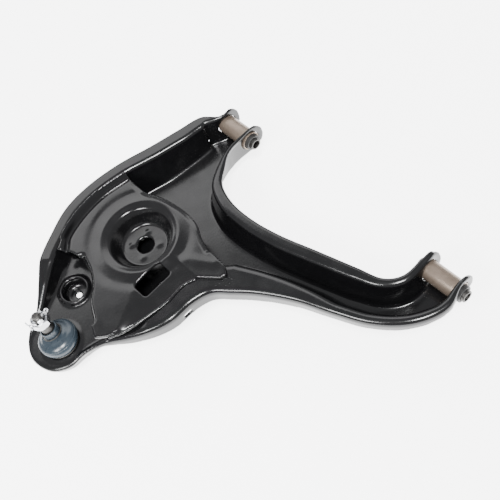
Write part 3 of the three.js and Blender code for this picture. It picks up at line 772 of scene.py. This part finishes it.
def weld_bead(name, route, width, height):
    """A lumpy bead of weld along a route in the arm's millimetres."""
    path = np.asarray(route, float)
    rings = []
    for place, point in enumerate(path):
        along = path[min(place + 1, len(path) - 1)] - path[max(place - 1, 0)]
        along /= np.linalg.norm(along)
        across = np.array([along[1], -along[0], 0])
        across /= np.linalg.norm(across)
        ripple = 1 + 0.06 * math.sin(place * 1.9) + 0.05 * math.sin(place * 0.7 + 1)
        end = 0.25 if place in (0, len(path) - 1) else 1
        ring = []
        for side in range(12):
            angle = side * 2 * math.pi / 12
            ring.append(point + across * width * ripple * end * math.cos(angle)
                        + np.array([0, 0, 1]) * height * ripple * end * math.sin(angle))
        rings.append(ring)
    return skin(name, rings)


def spatter(name, count):
    """Small round weld drops on the flange next to the spring seat's tail."""
    random = np.random.default_rng(SPATTER_SEED)
    made = bmesh.new()
    for _ in range(count):
        spread = random.normal(0, 1, 2) * SPATTER_SPREAD
        place = row_vector(SPATTER_CENTRE[0] + spread[0], SPATTER_CENTRE[1] + spread[1], RIM + 0.2)
        size = float(random.uniform(0.5, 1.3)) / 1000
        bmesh.ops.create_icosphere(made, subdivisions=2, radius=size,
                                   matrix=Matrix.Translation(place) @ Matrix.Diagonal((1, 1, 0.6, 1)))
    mesh = bpy.data.meshes.new(name)
    made.to_mesh(mesh)
    made.free()
    obj = bpy.data.objects.new(name, mesh)
    bpy.context.scene.collection.objects.link(obj)
    return obj


# ------------------------------------------------------------------ materials
def surface(name, dark, light, roughness, metallic, bump, grain, coat=0.0, spread=0.08):
    """A finish whose colour, roughness and relief vary over the piece; grain is in metres."""
    material = bpy.data.materials.new(name)
    material.use_nodes = True
    nodes, links = material.node_tree.nodes, material.node_tree.links
    shader = nodes["Principled BSDF"]
    place = nodes.new("ShaderNodeTexCoord")

    def noise(scale, detail):
        node = nodes.new("ShaderNodeTexNoise")
        node.inputs["Scale"].default_value = scale
        node.inputs["Detail"].default_value = detail
        links.new(place.outputs["Object"], node.inputs["Vector"])
        return node.outputs["Fac"]

    colour = nodes.new("ShaderNodeMix")
    colour.data_type = "RGBA"
    colour.inputs[6].default_value = (*dark, 1)
    colour.inputs[7].default_value = (*light, 1)
    links.new(noise(0.35 / grain, 5), colour.inputs[0])
    links.new(colour.outputs[2], shader.inputs["Base Color"])

    rough = nodes.new("ShaderNodeMapRange")
    rough.inputs["From Min"].default_value = 0.3
    rough.inputs["From Max"].default_value = 0.7
    rough.inputs["To Min"].default_value = max(roughness - spread, 0.02)
    rough.inputs["To Max"].default_value = roughness + spread
    links.new(noise(0.12 / grain, 3), rough.inputs["Value"])
    links.new(rough.outputs["Result"], shader.inputs["Roughness"])

    relief = nodes.new("ShaderNodeBump")
    relief.inputs["Strength"].default_value = bump
    relief.inputs["Distance"].default_value = grain * 0.1
    links.new(noise(1 / grain, 2), relief.inputs["Height"])
    links.new(relief.outputs["Normal"], shader.inputs["Normal"])

    shader.inputs["Metallic"].default_value = metallic
    shader.inputs["Coat Weight"].default_value = coat
    shader.inputs["Coat Roughness"].default_value = 0.06
    return material


# name, dark and light colour, roughness, metallic, relief, grain in metres
FINISHES = {
    "black_paint": surface("Black e-coat", (0.003, 0.003, 0.0034), (0.006, 0.006, 0.0065),
                           0.18, 0.0, 0.10, 0.004, spread=0.07),
    "dark_steel": surface("Dark phosphated steel", (0.045, 0.044, 0.043), (0.10, 0.097, 0.092),
                          0.42, 0.85, 0.2, 0.002),
    "bare_steel": surface("Tan passivated steel", (0.17, 0.13, 0.10), (0.25, 0.20, 0.16),
                          0.38, 0.55, 0.15, 0.003),
    "zinc": surface("Bright zinc", (0.42, 0.43, 0.45), (0.60, 0.61, 0.63),
                    0.28, 1.0, 0.12, 0.002),
    "bushing_rubber": surface("Bushing rubber", (0.010, 0.010, 0.010), (0.028, 0.027, 0.026),
                              0.55, 0.0, 0.3, 0.0015),
    "boot_rubber": surface("Blue-grey boot rubber", (0.018, 0.027, 0.036), (0.030, 0.042, 0.054),
                           0.25, 0.0, 0.15, 0.002),
    "race_polymer": surface("Race polymer", (0.55, 0.53, 0.48), (0.68, 0.66, 0.60),
                            0.4, 0.0, 0.1, 0.002),
}


def place_piece(obj, name, slot, body, nodes=(), sharp=None):
    """Names and paints a piece, which rides its body and replaces its CAD nodes.

    Edges bent by more than sharp degrees stay sharp.
    """
    obj.name = name
    shade_smooth(obj, sharp)
    obj.data.materials.clear()
    obj.data.materials.append(FINISHES[slot])
    if body:
        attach(obj, body)
    if nodes:
        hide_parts(*nodes)
    return obj


def build_pressings():
    place_piece(main_shell(), "shell_pressing", "black_paint", "arm", ["main_shell"])
    place_piece(spring_seat_plate(), "seat_pressing", "black_paint", "arm", ["spring_seat_plate"])
    near = spline(NEAR_EDGE[1:], 12)
    bead = weld_bead("near_weld", np.c_[near, np.full(len(near), RIM + 0.6)], 2.4, 1.8)
    place_piece(bead, "near_weld", "black_paint", "arm")
    left = spline(LEFT_EDGE, 16) + [0, -1.5]
    bead = weld_bead("left_weld", np.c_[left, np.full(len(left), RIM + 0.8)], 2.2, 2.0)
    place_piece(bead, "left_weld", "black_paint", "arm")
    place_piece(spatter("weld_spatter", 16), "weld_spatter", "black_paint", "arm")


def build_ball_joint():
    for piece, name, slot, body, node, sharp in (
        (housing(), "housing_turned", "dark_steel", "arm", "ball_joint_housing", 35),
        (preload_washer(), "washer_turned", "dark_steel", "arm", "ball_joint_preload_washer", 35),
        (cover(), "cover_turned", "dark_steel", "arm", "ball_joint_cover", 35),
        (grease_fitting(), "fitting_turned", "zinc", "arm", "grease_fitting", 35),
        (ball_race(), "race_turned", "race_polymer", "race", "ball_joint_race", 35),
        (ball_stud(), "stud_turned", "dark_steel", "stud", "ball_stud", 30),
        (castle_nut(), "nut_castellated", "zinc", "stud", "castle_nut", 30),
        (cotter_pin(), "pin_bent", "zinc", "stud", "cotter_pin", 40),
    ):
        place_piece(piece, name, slot, body, [node], sharp)
    clamp = wire_ring("clamp", HOUSING_RADIUS + 1.4, CLAMP_HEIGHT, CLAMP_WIRE)
    place_piece(clamp, "boot_clamp_wire", "dark_steel", "arm", ["boot_clamp_ring"])
    top = wire_ring("top", TOP_RING_RADIUS, TOP_RING_HEIGHT, TOP_WIRE, LEAN)
    place_piece(top, "boot_top_wire", "dark_steel", "boot_ring", ["boot_top_ring"])


def build_boot():
    """The lower and the upper length ride no body; each is placed with its transform baked into the mesh.
    """
    lower = place_piece(boot("boot_lower", True), "boot_lower", "boot_rubber", None)
    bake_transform(lower)
    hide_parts("ball_joint_boot")
    upper = place_piece(boot("boot_upper", False), "boot_upper", "boot_rubber", None)
    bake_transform(upper)


def build_bushings():
    sleeve_bore = BUSHING_RADIUS - BUSHING_WALL
    rubber_bore = INNER_SLEEVE_RADIUS + BUSHING_GAP
    rubber_radius = sleeve_bore - BUSHING_GAP
    for leg, centre_y in (("straight_leg", STRAIGHT_LEG_Y), ("curved_leg", CURVED_LEG_Y)):
        sleeve = pivot_tube("sleeve", centre_y, sleeve_bore, BUSHING_RADIUS, SLEEVE_HALF)
        place_piece(sleeve, f"{leg}_sleeve", "bare_steel", "arm", [f"{leg}_bushing_outer_sleeve"], 50)
        rubber = pivot_tube("rubber", centre_y, rubber_bore, rubber_radius, RUBBER_HALF)
        place_piece(rubber, f"{leg}_rubber", "bushing_rubber", "arm", [f"{leg}_bushing_rubber"], 50)
        inner = pivot_tube("inner", centre_y, PIVOT_BOLT_RADIUS, INNER_SLEEVE_RADIUS, INNER_SLEEVE_HALF)
        place_piece(inner, f"{leg}_inner_tube", "dark_steel", f"{leg}_inner_sleeve",
                    [f"{leg}_bushing_inner_sleeve"], 50)


# ------------------------------------------------------------------ studio
CAMERA = (367.3, 599.6, 1102.5)
CAMERA_RIGHT = Vector((-0.6975, 0.675, -0.2406))
CAMERA_UP = Vector((-0.6917, -0.5465, 0.4722))
CAMERA_LENS = 65.9

PAPER_GLOW = 5.0
SKY_STRENGTH = 0.6
LIGHT_TARGET = (0, 0, 0.05)
# level faces towards the far side mirror this softbox into the camera, nearer ones look past it
OVERHEAD = {"place": (-0.54, -1.43, 1.36), "size": (2.3, 1.0), "power": 19}
SIDE = {"place": (0.95, 0.25, 1.15), "size": (0.5, 0.5), "power": 22}
KEY_POWER = 4.0
KEY_SPREAD = math.radians(14)
KEY_DIRECTION = Vector((0.12, 0.34, 0.93))
FLOOR_HALF = 4000


def backdrop_material():
    material = bpy.data.materials.new("Studio paper")
    material.use_nodes = True
    nodes, links = material.node_tree.nodes, material.node_tree.links
    shader = nodes["Principled BSDF"]
    noise = nodes.new("ShaderNodeTexNoise")
    noise.inputs["Scale"].default_value = 3
    ramp = nodes.new("ShaderNodeMix")
    ramp.data_type = "RGBA"
    ramp.inputs[6].default_value = (0.90, 0.90, 0.90, 1)
    ramp.inputs[7].default_value = (0.93, 0.93, 0.93, 1)
    links.new(noise.outputs["Fac"], ramp.inputs[0])
    links.new(ramp.outputs[2], shader.inputs["Base Color"])
    shader.inputs["Roughness"].default_value = 0.9
    shader.inputs["Specular IOR Level"].default_value = 0.1
    links.new(ramp.outputs[2], shader.inputs["Emission Color"])
    shader.inputs["Emission Strength"].default_value = PAPER_GLOW
    return material


def softbox(name, place, size, power):
    light = bpy.data.lights.new(name, "AREA")
    light.shape = "RECTANGLE"
    light.size, light.size_y = size
    light.energy = power
    obj = bpy.data.objects.new(name, light)
    obj.location = place
    obj.rotation_euler = (Vector(LIGHT_TARGET) - Vector(place)).to_track_quat("-Z", "Y").to_euler()
    bpy.context.scene.collection.objects.link(obj)
    return obj


def build_studio():
    """Pale glowing paper, an even sky, two softboxes and a soft sun."""
    corners = [(-FLOOR_HALF, -FLOOR_HALF, 0), (FLOOR_HALF, -FLOOR_HALF, 0),
               (FLOOR_HALF, FLOOR_HALF, 0), (-FLOOR_HALF, FLOOR_HALF, 0)]
    floor = new_object("floor", corners, [(0, 1, 2, 3)], in_row_frame=True)
    floor.data.materials.append(backdrop_material())
    world = bpy.data.worlds.new("Studio")
    bpy.context.scene.world = world
    world.use_nodes = True
    world.node_tree.nodes["Background"].inputs["Color"].default_value = (0.97, 0.98, 1.0, 1)
    world.node_tree.nodes["Background"].inputs["Strength"].default_value = SKY_STRENGTH
    softbox("overhead", **OVERHEAD)
    softbox("side", **SIDE)
    sun = bpy.data.lights.new("key", "SUN")
    sun.energy = KEY_POWER
    sun.angle = KEY_SPREAD
    key = bpy.data.objects.new("key", sun)
    key.rotation_euler = KEY_DIRECTION.to_track_quat("Z", "Y").to_euler()
    bpy.context.scene.collection.objects.link(key)


def build_camera():
    data = bpy.data.cameras.new("camera")
    data.lens = CAMERA_LENS
    data.sensor_width = 36
    data.clip_end = 20
    camera = bpy.data.objects.new("camera", data)
    back = CAMERA_RIGHT.cross(CAMERA_UP)
    turn = Matrix((CAMERA_RIGHT, CAMERA_UP, back)).transposed().to_4x4()
    camera.matrix_world = Matrix.Translation(row_vector(*CAMERA)) @ turn
    bpy.context.scene.collection.objects.link(camera)
    bpy.context.scene.camera = camera


build_pressings()
build_ball_joint()
build_boot()
build_bushings()
build_studio()
build_camera()
